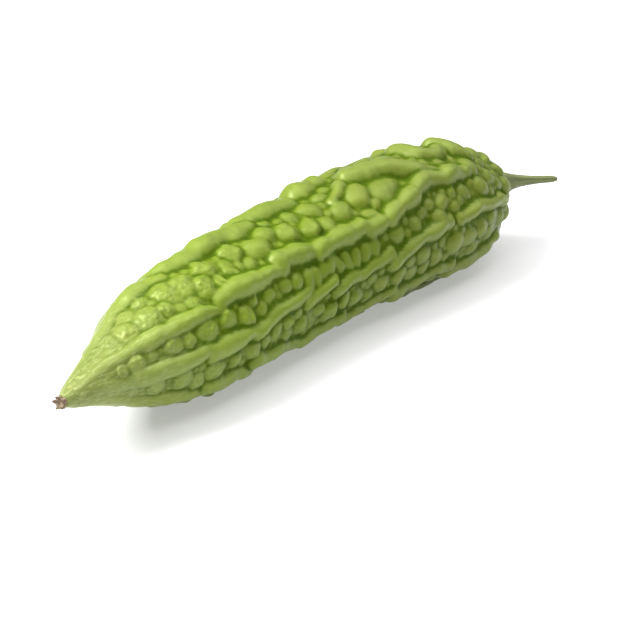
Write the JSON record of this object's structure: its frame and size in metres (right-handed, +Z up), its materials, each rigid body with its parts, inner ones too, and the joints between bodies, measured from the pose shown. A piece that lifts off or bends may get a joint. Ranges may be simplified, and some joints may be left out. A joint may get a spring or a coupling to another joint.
{
  "type": "bitter melon",
  "caption": "Whole bitter melon lying on its belly: a tapering green fruit with lengthwise ridges and packed round warts, a thin stalk and a dried flower at the tip.",
  "frame": {"origin": "on the ground under the middle of the whole melon's box", "axes": "+X along the fruit from its blossom tip to its stalk, +Y towards the side that the fruit bends to, +Z up"},
  "size_m": [0.2677, 0.0584, 0.0551],
  "materials": {
    "fruit_skin": "waxy green plant skin, soft satin",
    "stalk_skin": "matt olive green plant stem",
    "dry_flower": "dry brown shrivelled petals"
  },
  "bodies": {
    "root": {"fruit": "fruit_skin", "stalk": "stalk_skin", "dry_flower": "dry_flower"}
  },
  "joints": []
}
